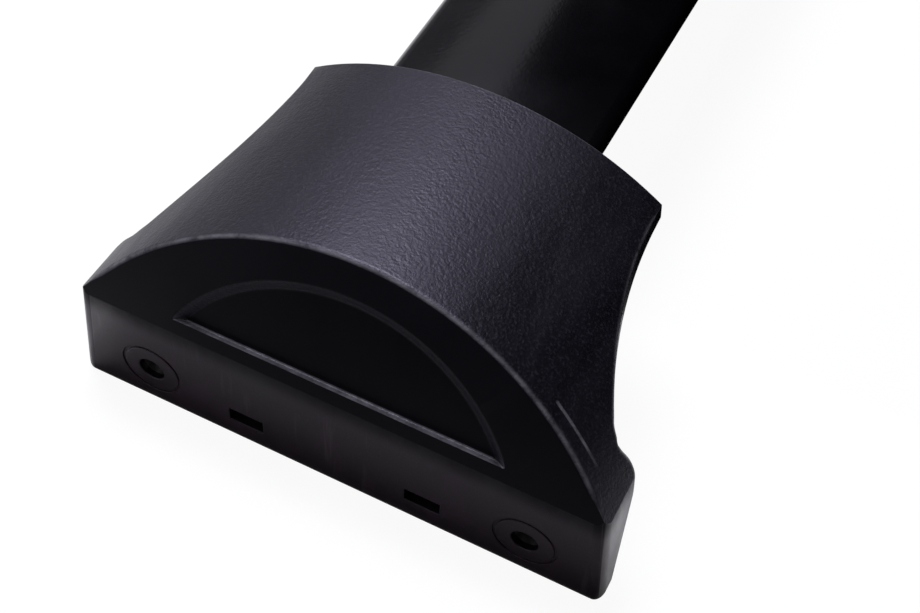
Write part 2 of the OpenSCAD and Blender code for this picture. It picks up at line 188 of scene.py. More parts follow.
def fine_grain_group():
    """Etched mould grain: small crinkles over a coarser leather-like swell."""
    group, given, exit_node = new_group(
        "fine_grain", {"Vector": None, "Grain Size mm": 0.5, "Swell Size mm": 2.5},
        {"Height": "NodeSocketFloat", "Speckle": "NodeSocketFloat"})
    fine = noise(group, given["Vector"], per_metre(group, given["Grain Size mm"]), 3.0, 0.6)
    swell = add_node(group, "ShaderNodeTexVoronoi",
                     {"Vector": given["Vector"],
                      "Scale": per_metre(group, given["Swell Size mm"])}, feature="SMOOTH_F1")
    put_out(group, exit_node,
            Height=calculate(group, "MULTIPLY_ADD", swell.outputs["Distance"], 0.5, fine),
            Speckle=map_range(group, fine, 0.52, 0.70))
    return group


fine_grain = fine_grain_group()

insert_plastic, tree, shader, place = new_finish("insert_plastic", specular=0.4)
marks = use_group(tree, handling_marks, Vector=place, Cloud_Size_mm=14.0,
                  Base=(0.0060, 0.0060, 0.0068, 1), Dusty=(0.0120, 0.0118, 0.0125, 1),
                  Roughness=0.48, Roughness_Spread=0.10)
grain = use_group(tree, fine_grain, Vector=place, Grain_Size_mm=0.4, Swell_Size_mm=1.5)
dress(tree, shader, marks, grain.outputs["Height"], strength=0.3, depth=0.05 * MM)
for side in SIDES:
    set_material(nodes[f"{side}_tube_insert"], insert_plastic)


# Brackets.
# One piece of folded steel in each foot: a flange behind the strip and a tongue inside
# the bar. It is dipped in black electrocoat, which is thin and shows the rolled sheet.

def drawn_out(tree, vector, scale):
    """Object coordinates squeezed on some axes, which draws a pattern out along them."""
    return add_node(tree, "ShaderNodeMapping", {"Vector": vector, "Scale": scale}).outputs[0]


bracket_coat, tree, shader, place = new_finish("bracket_coat", specular=0.5)
marks = use_group(tree, handling_marks, Vector=place, Cloud_Size_mm=10.0,
                  Base=(0.0090, 0.0090, 0.0100, 1), Dusty=(0.0200, 0.0190, 0.0190, 1),
                  Roughness=0.38, Roughness_Spread=0.14)
rolled = noise(tree, drawn_out(tree, place, (1.0, 0.06, 0.06)), scale=2500.0, detail=3.0)
dress(tree, shader, marks, rolled, strength=0.3, depth=0.03 * MM)
for side in SIDES:
    set_material(nodes[f"{side}_bracket"], bracket_coat)


# Bar screws.
# Two pan-head machine screws in each foot, with a hexagon socket. They go up through the
# cradle, the bar's lower wall and the tongue. They are cold-headed, rolled and zinc plated.

def zinc_plate(name, dark, light, cloud_size_mm, roughness):
    """Zinc with the soft grey bloom that it gets in storage."""
    plate, tree, shader, place = new_finish(name, metallic=1.0)
    bloom = use_group(tree, handling_marks, Vector=place, Cloud_Size_mm=cloud_size_mm,
                      Base=dark, Dusty=light, Roughness=roughness, Roughness_Spread=0.22)
    crystals = noise(tree, place, scale=4000.0, detail=2.0)
    dress(tree, shader, bloom, crystals, strength=0.2, depth=0.02 * MM)
    return plate


def screw_tree():
    """Geometry nodes that put one pan-head screw, head down, on each point of a mesh."""
    tree = bpy.data.node_groups.new("pan_head_screws", "GeometryNodeTree")
    kinds = dict.fromkeys(("Diameter", "Length", "Head Width", "Head Height", "Head Round",
                           "Socket Width", "Socket Depth", "Pitch", "Thread Depth"),
                          "NodeSocketFloat")
    for title, kind in ({"Seats": "NodeSocketGeometry"} | kinds
                        | {"Rows": "NodeSocketInt", "Material": "NodeSocketMaterial"}).items():
        tree.interface.new_socket(name=title, in_out="INPUT", socket_type=kind)
    tree.interface.new_socket(name="Screws", in_out="OUTPUT", socket_type="NodeSocketGeometry")
    given = add_node(tree, "NodeGroupInput").outputs
    exit_node = add_node(tree, "NodeGroupOutput")
    calc = partial(calculate, tree)
    turn_points, head_rows, socket_rows = 37, 11, 4
    flare, flare_depth = 0.08, 0.12

    # Every band is a flat grid, rolled up: X gives the turn, and Y the way along the profile.
    where = add_node(tree, "GeometryNodeInputPosition")
    spot = add_node(tree, "ShaderNodeSeparateXYZ", {0: where.outputs[0]})
    turn = calc("MULTIPLY", spot.outputs["X"], math.tau)
    way = calc("ADD", spot.outputs["Y"], 0.5)

    def step_between(low, high):
        """0 below one share of the way, 1 above another, and an even rise between them."""
        return calc("MULTIPLY", calc("SUBTRACT", way, low), 1 / (high - low), clamp=True)

    def spun_band(rows, radius, height):
        """A closed band round the screw's axis, from its radius and height."""
        grid = add_node(tree, "GeometryNodeMeshGrid",
                        {"Size X": 1.0, "Size Y": 1.0, "Vertices X": turn_points,
                         "Vertices Y": rows})
        rolled_up = add_node(tree, "ShaderNodeCombineXYZ",
                             {"X": calc("MULTIPLY", radius, calc("COSINE", turn)),
                              "Y": calc("MULTIPLY", radius, calc("SINE", turn)), "Z": height})
        band = add_node(tree, "GeometryNodeSetPosition",
                        {"Geometry": grid.outputs["Mesh"], "Position": rolled_up.outputs[0]})
        return band.outputs[0]

    # The socket: its floor, its six walls, and a small flare where they meet the head.
    sixth = calc("SUBTRACT", calc("FLOORED_MODULO", turn, math.pi / 3), math.pi / 6)
    flat_to_axis = calc("MULTIPLY", given["Socket Width"], 0.5)
    hexagon = calc("DIVIDE", flat_to_axis, calc("COSINE", sixth))
    head_bottom = calc("MULTIPLY", given["Head Height"], -1.0)
    head_radius = calc("MULTIPLY", given["Head Width"], 0.5)
    widening = calc("ADD", step_between(0, 1 / 3),
                    calc("MULTIPLY", step_between(2 / 3, 1), flare))
    sunk = calc("ADD", calc("MULTIPLY", step_between(1 / 3, 2 / 3), 1 - flare_depth),
                calc("MULTIPLY", step_between(2 / 3, 1), flare_depth))
    socket = spun_band(socket_rows, calc("MULTIPLY", hexagon, widening),
                       calc("MULTIPLY_ADD", given["Socket Depth"],
                            calc("SUBTRACT", 1.0, sunk), head_bottom))

    # The head: a flat ring, a quarter-round shoulder and a short upright rim.
    arc = calc("MULTIPLY", step_between(0.2, 0.8), math.pi / 2)
    inner = calc("MULTIPLY", hexagon, 1 + flare)
    flat_ring = calc("SUBTRACT", calc("SUBTRACT", head_radius, given["Head Round"]), inner)
    radius = calc("ADD", calc("MULTIPLY_ADD", flat_ring, step_between(0, 0.2), inner),
                  calc("MULTIPLY", given["Head Round"], calc("SINE", arc)))
    shoulder = calc("MULTIPLY_ADD", given["Head Round"],
                    calc("SUBTRACT", 1.0, calc("COSINE", arc)), head_bottom)
    rim = calc("MULTIPLY", calc("SUBTRACT", given["Head Height"], given["Head Round"]),
               step_between(0.8, 1))
    head = spun_band(head_rows, radius, calc("ADD", shoulder, rim))

    # The shank: a thread that winds up from under the head, with a blunt point.
    row = calc("DIVIDE", 1.0, calc("SUBTRACT", given["Rows"], 1.0))
    climb = calc("DIVIDE", calc("SUBTRACT", way, row),
                 calc("SUBTRACT", 1.0, calc("MULTIPLY", row, 2.0)), clamp=True)
    height = calc("MULTIPLY", climb, given["Length"])
    winding = calc("SUBTRACT", calc("DIVIDE", height, given["Pitch"]), spot.outputs["X"])
    wave = calc("MULTIPLY", calc("PINGPONG", winding, 0.5), 2.0)
    shank = calc("MULTIPLY", given["Diameter"], 0.5)
    point = calc("DIVIDE", calc("SUBTRACT", height,
                                calc("SUBTRACT", given["Length"], given["Pitch"])),
                 given["Pitch"], clamp=True)
    ridge = calc("SUBTRACT", shank, calc("MULTIPLY", wave, given["Thread Depth"]))
    thread = calc("SUBTRACT", ridge, calc("MULTIPLY", point, given["Thread Depth"]))
    half_row = calc("MULTIPLY", row, 0.5)
    first = calc("LESS_THAN", way, half_row)
    last = calc("GREATER_THAN", way, calc("SUBTRACT", 1.0, half_row))
    radius = calc("MULTIPLY_ADD", calc("SUBTRACT", head_radius, thread), first, thread)
    radius = calc("MULTIPLY", radius, calc("SUBTRACT", 1.0, last))
    shank_band = spun_band(given["Rows"], radius, height)

    joined = add_node(tree, "GeometryNodeJoinGeometry")
    for band in (shank_band, head, socket):
        tree.links.new(band, joined.inputs[0])
    closed = add_node(tree, "GeometryNodeMergeByDistance",
                      {"Geometry": joined.outputs[0], "Distance": 0.002 * MM})
    placed = add_node(tree, "GeometryNodeInstanceOnPoints",
                      {"Points": given["Seats"], "Instance": closed.outputs[0]})
    real = add_node(tree, "GeometryNodeRealizeInstances", {"Geometry": placed.outputs[0]})
    plated = add_node(tree, "GeometryNodeSetMaterial",
                      {"Geometry": real.outputs[0], "Material": given["Material"]})
    tree.links.new(plated.outputs[0], exit_node.inputs["Screws"])
    return tree


def add_object(name, data):
    """A new object of this data, in the scene and at its origin."""
    obj = bpy.data.objects.new(name, data)
    bpy.context.scene.collection.objects.link(obj)
    return obj


def make_screws(name, replaced, sizes, rows, finish):
    """All the screws of one kind as one plain mesh, standing for their CAD nodes."""
    seats = []
    for node in replaced:
        low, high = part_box(node)
        seats.append(((low[0] + high[0]) / 2, (low[1] + high[1]) / 2,
                      low[2] + sizes["Head Height"]))
    points = bpy.data.meshes.new(name + "_seats")
    points.from_pydata(seats, [], [])
    maker = add_object(name + "_maker", points)
    modifier = maker.modifiers.new("screws", "NODES")
    modifier.node_group = pan_head_screws
    values = sizes | {"Rows": rows, "Material": finish}
    for item in pan_head_screws.interface.items_tree:
        if item.in_out == "INPUT" and item.name in values:
            modifier[item.identifier] = values[item.name]
    made = maker.evaluated_get(bpy.context.evaluated_depsgraph_get())
    mesh = bpy.data.meshes.new_from_object(made)
    bpy.data.objects.remove(maker)
    mesh.shade_smooth()
    mesh.set_sharp_from_angle(angle=math.radians(38))
    piece = add_object(name, mesh)
    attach(piece, "root")
    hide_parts(*replaced)


pan_head_screws = screw_tree()
screw_zinc = zinc_plate("screw_zinc", (0.40, 0.40, 0.43, 1), (0.58, 0.58, 0.60, 1),
                        cloud_size_mm=3.0, roughness=0.34)
BAR_SCREW_HEAD = 3.3 * MM
bar_screw_nodes = [f"{side}_{end}_bar_screw" for side in SIDES for end in ("front", "rear")]
low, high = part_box(bar_screw_nodes[0])
make_screws("bar_screws", bar_screw_nodes, {
    "Diameter": 6 * MM, "Length": high[2] - low[2] - BAR_SCREW_HEAD,
    "Head Width": 10.8 * MM, "Head Height": BAR_SCREW_HEAD, "Head Round": 1.5 * MM,
    "Socket Width": 3.9 * MM, "Socket Depth": 2.1 * MM,
    "Pitch": 1.0 * MM, "Thread Depth": 0.55 * MM}, rows=150, finish=screw_zinc)


# Bases.
# A moulded plate closes the underside of each foot and carries the bar in a cradle. It
# is plain black plastic from a polished mould, duller than the hood, with a light dust.

base_plastic, tree, shader, place = new_finish("base_plastic", specular=0.4)
marks = use_group(tree, handling_marks, Vector=place, Cloud_Size_mm=18.0,
                  Base=(0.0075, 0.0073, 0.0082, 1), Dusty=(0.0150, 0.0145, 0.0150, 1),
                  Roughness=0.52, Roughness_Spread=0.12)
grain = use_group(tree, fine_grain, Vector=place, Grain_Size_mm=0.45, Swell_Size_mm=1.6)
speckled = mix_colour(tree, grain.outputs["Speckle"], marks.outputs["Color"],
                      (0.020, 0.019, 0.020, 1))
dress(tree, shader, marks, grain.outputs["Height"], strength=0.35, depth=0.06 * MM,
      colour=speckled)
for side in SIDES:
    set_material(nodes[f"{side}_base"], base_plastic)


# Housings.
# Each foot's outer shell: one injection moulding in black glass-filled plastic. The
# hood and the walls carry a fine spark-eroded grain, and the leaning face is smoother.
# The mould leaves every outer edge rounded, most of all along the hood.

# The foot's own sizes, in millimetres. Its mounting face is at Y = 0, its underside at Z = 0.
HOOD_R, HOOD_TOP, HOOD_FALL = 88.5, 72.5, math.radians(2)
FACE_LEAN, STRIP_TOP, MOUTH_Y, HALF_BAR = math.radians(21), 34.0, 82.0, 500.0
RECESS_DEPTH, RECESS_R, RECESS_LOW, RECESS_HIGH = 1.8, 52.4, 4.0, 30.7
BAR_OPENING, CREASE_HALF, OPENINGS_HALF = 67.0, 70.4, 68.0
BORES_DEPTH, BORES_HALF = 12.0, 66.0

# What the mould rounds off, and the slope of the recess's arched wall.
HOOD_SIDE_ROUND, HOOD_FACE_ROUND, ROUND_FADE = 2.6, 1.7, 9.0
CREASE_ROUND, OPENING_ROUND, MOUTH_ROUND = 1.6, 0.3, 0.5
SLOPE_OUT, SLOPE_IN, SLOPE_ROUND, LEDGE_ROUND = 0.4, 2.1, 0.7, 0.5

# How far off a flat face, the hood or the recess a point may lie and still be on it, and
# how close two points are merged.
TOUCH, HOOD_TOUCH, NEAR, WELD = 0.01, 0.03, 0.05, 0.002

face_top_y = (HOOD_TOP - STRIP_TOP) * math.tan(FACE_LEAN)
hood_axis = Vector((0, math.cos(HOOD_FALL), -math.sin(HOOD_FALL)))
hood_up = Vector((0, math.sin(HOOD_FALL), math.cos(HOOD_FALL)))
hood_centre = Vector((0, face_top_y, HOOD_TOP)) - HOOD_R * hood_up
face_normal = Vector((0, -math.cos(FACE_LEAN), math.sin(FACE_LEAN)))
up_face = Vector((0, math.sin(FACE_LEAN), math.cos(FACE_LEAN)))


def drawn_lines_group():
    """Fine lines and scuffs in patches. Along is the place, drawn out along the lines."""
    group, given, exit_node = new_group(
        "drawn_lines",
        {"Along": None, "Vector": None, "Line Size mm": 1.5, "Patch Size mm": 30.0},
        {"Mask": "NodeSocketFloat"})
    lines = noise(group, given["Along"], per_metre(group, given["Line Size mm"]), 2.0, 0.6)
    patches = noise(group, given["Vector"], per_metre(group, given["Patch Size mm"]), 2.0)
    put_out(group, exit_node,
            Mask=calculate(group, "MULTIPLY", map_range(group, lines, 0.60, 0.70),
                           map_range(group, patches, 0.48, 0.62)))
    return group


def scratch_group():
    """One thin straight scratch, which starts at a point and fades out at its end."""
    group, given, exit_node = new_group(
        "scratch",
        {"Vector": None, "Start": None, "Along": None, "Across": None,
         "Length": 0.02, "Width": 0.0005},
        {"Mask": "NodeSocketFloat"})
    offset = add_node(group, "ShaderNodeVectorMath", {0: given["Vector"], 1: given["Start"]},
                      operation="SUBTRACT")

    def reach(way, length):
        """How far a point lies that way from the start, as a share of the length."""
        run = add_node(group, "ShaderNodeVectorMath", {0: offset.outputs[0], 1: given[way]},
                       operation="DOT_PRODUCT")
        return calculate(group, "DIVIDE", run.outputs["Value"], given[length])

    along = reach("Along", "Length")
    aside = calculate(group, "ABSOLUTE", reach("Across", "Width"))
    lengthwise = calculate(group, "MULTIPLY", map_range(group, along, 0.0, 0.04),
                           map_range(group, along, 0.7, 1.0, 1.0, 0.0))
    put_out(group, exit_node,
            Mask=calculate(group, "MULTIPLY", lengthwise,
                           map_range(group, aside, 0.4, 0.8, 1.0, 0.0)))
    return group


def edge_polish_and_highlight_group():
    """Smoother edges with a painted highlight: lighter where the rounds are, in uneven patches."""
    group, given, exit_node = new_group(
        "edge_polish_and_highlight",
        {"Vector": None, "Edge": 0.0, "Patch Size mm": 6.0, "Color": (0.01, 0.01, 0.01, 1),
         "Rubbed": (0.06, 0.06, 0.06, 1), "Roughness": 0.5},
        {"Color": "NodeSocketColor", "Roughness": "NodeSocketFloat"})
    patches = noise(group, given["Vector"], per_metre(group, given["Patch Size mm"]), 4.0, 0.7)
    amount = calculate(group, "MULTIPLY", given["Edge"],
                       map_range(group, patches, 0.35, 0.6, to_low=0.25))
    put_out(group, exit_node,
            # A lighter colour, the painted highlight, and a lower roughness, the polish.
            Color=mix_colour(group, amount, given["Color"], given["Rubbed"]),
            Roughness=calculate(group, "MULTIPLY_ADD", amount, -0.15, given["Roughness"]))
    return group


drawn_lines = drawn_lines_group()
scratch = scratch_group()
edge_polish_and_highlight = edge_polish_and_highlight_group()

# The hood: the coarsest grain under soft clouds of dust, with a painted highlight and a smoother
# polish along its rounds.
hood_plastic, tree, shader, place = new_finish("hood_plastic", specular=0.3)
shader.inputs["Specular Tint"].default_value = (0.80, 0.76, 1.0, 1)
marks = use_group(tree, handling_marks, Vector=drawn_out(tree, place, (1.0, 0.3, 1.0)),
                  Cloud_Size_mm=20.0,
                  Base=(0.0014, 0.0013, 0.0022, 1), Dusty=(0.0034, 0.0032, 0.0050, 1),
                  Roughness=0.46, Roughness_Spread=0.14)
grain = use_group(tree, fine_grain, Vector=place, Grain_Size_mm=0.7, Swell_Size_mm=1.2)
speckled = mix_colour(tree, grain.outputs["Speckle"], marks.outputs["Color"],
                      (0.012, 0.0115, 0.016, 1))

# The left foot's hood has one scratch, near its front toe. These two points are in metres.
scratch_start, scratch_end = Vector((0.0520, -0.4868, 0.0556)), Vector((0.0662, -0.4911, 0.0429))
scratch_way = (scratch_end - scratch_start).normalized()
scratch_out = (scratch_start + scratch_end) / 2 - hood_centre * MM
scratch_out.y = 0
mark = use_group(tree, scratch, Vector=place, Start=scratch_start, Along=scratch_way,
                 Across=scratch_way.cross(scratch_out).normalized(),
                 Length=(scratch_end - scratch_start).length, Width=0.7 * MM)
# The edge attribute and the scratch make the colour lighter and smoother: a painted highlight on
# the rounds, the ledge and the mouth's edge, and the scratch's own pale line.
rounds = add_node(tree, "ShaderNodeAttribute", attribute_name="edge")
highlight_and_scratch = calculate(tree, "MAXIMUM", rounds.outputs["Fac"], mark.outputs["Mask"])
polish_and_highlight = use_group(tree, edge_polish_and_highlight, Vector=place, Edge=highlight_and_scratch, Patch_Size_mm=5.0,
                   Color=speckled, Rubbed=(0.085, 0.083, 0.095, 1),
                   Roughness=marks.outputs["Roughness"])
dress(tree, shader, polish_and_highlight, grain.outputs["Height"], strength=0.65, depth=0.20 * MM)

# The leaning face, and the inside of the holes and slots: smooth and even.
face_plastic, tree, shader, place = new_finish("face_plastic", specular=0.12)
marks = use_group(tree, handling_marks, Vector=place, Cloud_Size_mm=40.0,
                  Base=(0.0042, 0.0039, 0.0066, 1), Dusty=(0.0054, 0.0050, 0.0086, 1),
                  Roughness=0.42, Roughness_Spread=0.06)
grain = use_group(tree, fine_grain, Vector=place, Grain_Size_mm=0.35, Swell_Size_mm=1.2)
dress(tree, shader, marks, grain.outputs["Height"], strength=0.25, depth=0.05 * MM)

# The strip, the ends and the flared sides: dusty, with a coat's sheen and with upright scuffs.
# Towards the height of the crease they turn a plain dark tone, painted shade, and lose the coat.
wall_plastic, tree, shader, place = new_finish("wall_plastic", specular=0.12)
shader.inputs["Specular Tint"].default_value = (1.0, 0.90, 0.99, 1)
shader.inputs["Coat IOR"].default_value = 1.30
shader.inputs["Coat Roughness"].default_value = 0.46
marks = use_group(tree, handling_marks, Vector=drawn_out(tree, place, (1.0, 1.0, 0.4)),
                  Cloud_Size_mm=9.0,
                  Base=(0.0062, 0.0022, 0.0066, 1), Dusty=(0.0270, 0.0125, 0.0280, 1),
                  Roughness=0.46, Roughness_Spread=0.22)
grain = use_group(tree, fine_grain, Vector=place, Grain_Size_mm=0.5, Swell_Size_mm=1.6)
speckled = mix_colour(tree, grain.outputs["Speckle"], marks.outputs["Color"],
                      (0.034, 0.020, 0.035, 1))
scuffs = use_group(tree, drawn_lines, Along=drawn_out(tree, place, (1.0, 1.0, 0.06)),
                   Vector=place, Line_Size_mm=1.6, Patch_Size_mm=26.0)
scuffed = mix_colour(tree, scuffs.outputs["Mask"], speckled, (0.042, 0.030, 0.043, 1))
height = add_node(tree, "ShaderNodeSeparateXYZ", {0: place}).outputs["Z"]
# Painted shade: darker towards the height of the crease and dark above it, where the coat is gone
# too.
crease_shade_share = map_range(tree, height, 26.5 * MM, 33.8 * MM, curve="SMOOTHSTEP")
wall_colour = mix_colour(tree, crease_shade_share, scuffed, (0.0054, 0.0048, 0.0078, 1))
tree.links.new(calculate(tree, "SUBTRACT", 1.0, crease_shade_share), shader.inputs["Coat Weight"])
dress(tree, shader, marks, grain.outputs["Height"], strength=0.4, depth=0.08 * MM,
      colour=wall_colour)


def foot_to_row(side):
    """From a foot's own millimetres, with its mounting face at Y = 0, to the row frame."""
    turn = Matrix.Rotation(0 if side == "left" else math.pi, 4, "Z")
    return turn @ Matrix.Scale(MM, 4) @ Matrix.Translation((0, -HALF_BAR, 0))


def merged_copy(node, to_row):
    """A CAD node's mesh in the foot's own millimetres, with its flat faces made whole."""
    mesh = bmesh.new()
    mesh.from_mesh(nodes[node].data)
    mesh.transform(to_row.inverted())
    bmesh.ops.remove_doubles(mesh, verts=mesh.verts, dist=WELD)
    bmesh.ops.dissolve_limit(mesh, angle_limit=math.radians(0.2), verts=mesh.verts,
                             edges=mesh.edges)
    return mesh


def from_hood_axis(point):
    """The shortest way from the axis of the hood's arch to a point."""
    spoke = point - hood_centre
    return spoke - spoke.dot(hood_axis) * hood_axis


def on_hood(point):
    """On the outside of the hood's arch."""
    return abs(from_hood_axis(point).length - HOOD_R) < HOOD_TOUCH


def off_face(point):
    """Distance in front of the leaning face."""
    return (point - Vector((0, 0, STRIP_TOP))).dot(face_normal)


def up_the_face(point):
    """Height along the leaning face, above the strip."""
    return (point - Vector((0, 0, STRIP_TOP))).dot(up_face)


def from_recess_middle(point):
    """Distance from the middle of the recess's arc, seen square to the face."""
    return math.hypot(point.x, up_the_face(point) - RECESS_HIGH + RECESS_R)


def on_recess_arc(point):
    """On the recess's arched wall, as the CAD node has it."""
    return (abs(from_recess_middle(point) - RECESS_R) < NEAR
            and up_the_face(point) > RECESS_LOW - NEAR
            and -RECESS_DEPTH - NEAR < off_face(point) < NEAR)


def in_recess(point):
    """In or on the recess, once its arched wall has its slope."""
    return (-RECESS_DEPTH - NEAR < off_face(point) < 2 * TOUCH
            and RECESS_LOW - 2 * NEAR < up_the_face(point)
            and from_recess_middle(point) < RECESS_R + SLOPE_OUT + 2 * NEAR)


def on_ledge(point):
    """On the recess's straight lower wall."""
    return in_recess(point) and up_the_face(point) < RECESS_LOW + 2 * NEAR


def on_crease(point):
    """On the fold between the strip and the leaning face, short of its ends."""
    return (abs(point.y) < TOUCH and abs(point.z - STRIP_TOP) < 2 * TOUCH
            and abs(point.x) < CREASE_HALF)


def on_openings(point):
    """On the outer edges of the bolt holes, their rings and the slots."""
    return (abs(point.y) < TOUCH and 3 < point.z < STRIP_TOP - 5
            and abs(point.x) < OPENINGS_HALF)


def in_bores(point):
    """Inside a bolt hole or a slot."""
    return (0.5 < point.y < BORES_DEPTH and abs(point.x) < BORES_HALF
            and point.z < STRIP_TOP - 4)


def on_mouth(point):
    """On the flat end of the foot, where the bar comes out."""
    return abs(point.y - MOUTH_Y) < TOUCH


def round_the_bar(point):
    """Between the arch and the toes of the mouth, where the seal lies."""
    return abs(point.x) < BAR_OPENING / 2 and not on_hood(point)


def slope_recess_arc(mesh):
    """Leans the recess's arched wall back into the gentle slope that the mould gives it."""
    for vert in [vert for vert in mesh.verts if on_recess_arc(vert.co)]:
        reach = RECESS_R + (SLOPE_OUT if off_face(vert.co) > -RECESS_DEPTH / 2 else -SLOPE_IN)
        rise = up_the_face(vert.co) - RECESS_HIGH + RECESS_R
        if up_the_face(vert.co) < RECESS_LOW + NEAR:
            vert.co.x = math.copysign(math.sqrt(reach * reach - rise * rise), vert.co.x)
        else:
            vert.co.x *= reach / RECESS_R
            vert.co += (reach / RECESS_R - 1) * rise * up_face


def is_sharp(edge, degrees=14):
    """Whether two faces meet at an edge, and at more than this angle."""
    return len(edge.link_faces) == 2 and edge.calc_face_angle(0) > math.radians(degrees)


def whole_edge(edge, test):
    """Whether both ends of an edge pass a test."""
    return all(test(vert.co) for vert in edge.verts)


def runs_of(edges):
    """Orders loose edges into open runs of vertices."""
    joined = {}
    for edge in edges:
        for vert in edge.verts:
            joined.setdefault(vert, []).append(edge)
    runs, used = [], set()
    for start in [vert for vert, links in joined.items() if len(links) == 1]:
        run = [start]
        while True:
            onward = [edge for edge in joined[run[-1]] if edge not in used]
            if not onward:
                break
            used.add(onward[0])
            run.append(onward[0].other_vert(run[-1]))
        if len(run) > 2:
            runs.append(run)
    return runs


def clear_the_wall(mesh, run, profiles, radius):
    """Moves the wall's own points out of the strip that a round is about to take up."""
    to_spare, reach, half_width = 1.25, 1.6 * radius, 0.7
    drops = [(vert.co.copy(), profile[-1] - vert.co) for vert, profile in zip(run, profiles)]
    drops = [(corner, down.length, down.normalized()) for corner, down in drops
             if down.length > TOUCH]
    in_run = set(run)
    for vert in mesh.verts:
        if vert in in_run or on_hood(vert.co):
            continue
        moves = [(to_spare * drop - (vert.co - corner).dot(down), down)
                 for corner, drop, down in drops
                 if (vert.co - corner).length < reach
                 and abs((vert.co - corner).dot(down.cross(hood_axis).normalized())) < half_width]
        short, down = max(moves, key=lambda move: move[0], default=(0, None))
        if short > 0:
            vert.co += short * down


def round_hood_edge(mesh, run, radius, facing, polish_and_highlight, steps=6):
    """Rolls a round along one run of the hood's edge, fading to nothing at both ends."""
    last = len(run) - 1
    spans = [0.0]
    for one, two in zip(run, run[1:]):
        spans.append(spans[-1] + (two.co - one.co).length)
    edges = [mesh.edges.get(pair) for pair in zip(run, run[1:])]
    profiles, facings = [], []
    for i, vert in enumerate(run):
        share = min(min(spans[i], spans[-1] - spans[i]) / ROUND_FADE, 1.0)
        size = radius * share * share * (3 - 2 * share)
        beside = [face for edge in edges[max(i - 1, 0):i + 1] for face in edge.link_faces
                  if not all(on_hood(v.co) for v in face.verts)]
        wall = sum((face.normal for face in beside), Vector()).normalized()
        top = from_hood_axis(vert.co).normalized()
        middle = vert.co - size / (1 + top.dot(wall)) * (top + wall)
        facings.append([top.slerp(wall, step / steps) for step in range(steps + 1)])
        profiles.append([middle + size * way for way in facings[-1]])

    # The edge is cut open. Its two sides take the first and last points of each profile.
    spots = {tuple(round(c, 4) for c in vert.co): i for i, vert in enumerate(run)}
    ends = (run[0], run[-1])
    clear_the_wall(mesh, run, profiles, radius)
    bmesh.ops.split_edges(mesh, edges=edges)
    rows = [[None] * (steps + 1) for _ in profiles]
    for vert in list(mesh.verts):
        i = spots.get(tuple(round(c, 4) for c in vert.co))
        if i is None or i in (0, last):
            continue
        hood_side = all(on_hood(v.co) for face in vert.link_faces for v in face.verts)
        rows[i][0 if hood_side else steps] = vert
    rows[0], rows[last] = [ends[0]] * (steps + 1), [ends[1]] * (steps + 1)
    for i in range(1, last):
        for step in range(1, steps):
            rows[i][step] = mesh.verts.new(profiles[i][step])
    for i in range(1, last):
        rows[i][0].co, rows[i][steps].co = profiles[i][0], profiles[i][steps]
        for step, vert in enumerate(rows[i]):
            vert[facing] = facings[i][step]
            # Across each round, the painted highlight and the polish peak at its crest.
            vert[polish_and_highlight] = math.sin(math.pi * step / steps) ** 3
    for one, two in zip(rows, rows[1:]):
        for step in range(steps):
            corners = []
            for vert in (one[step], one[step + 1], two[step + 1], two[step]):
                if vert not in corners:
                    corners.append(vert)
            if len(corners) > 2:
                mesh.faces.new(corners)


def soften(mesh, test, size, steps=2, degrees=40):
    """Rounds the sharp edges that pass a test by a small amount."""
    edges = [edge for edge in mesh.edges if is_sharp(edge, degrees) and test(edge)]
    if edges:
        bmesh.ops.bevel(mesh, geom=edges, offset=size, segments=steps, profile=0.5,
                        affect="EDGES", clamp_overlap=False)


def set_true_normals(mesh):
    """Shades the hood and its rounds by their exact directions, and the rest by its faces."""
    sharp_turn, same_way, large_area = math.radians(32), 0.82, 40 * MM * MM
    mesh.set_sharp_from_angle(angle=sharp_turn)
    facing = [item.vector.copy() for item in mesh.attributes["facing"].data]
    normals = []
    for face in mesh.polygons:
        for corner in face.vertices:
            way = facing[corner]
            fits = way.length > 0.5 and way.dot(face.normal) > same_way
            flat = face.normal if face.area > large_area else Vector()
            normals.append(way if fits else flat)
    mesh.normals_split_custom_set(normals)


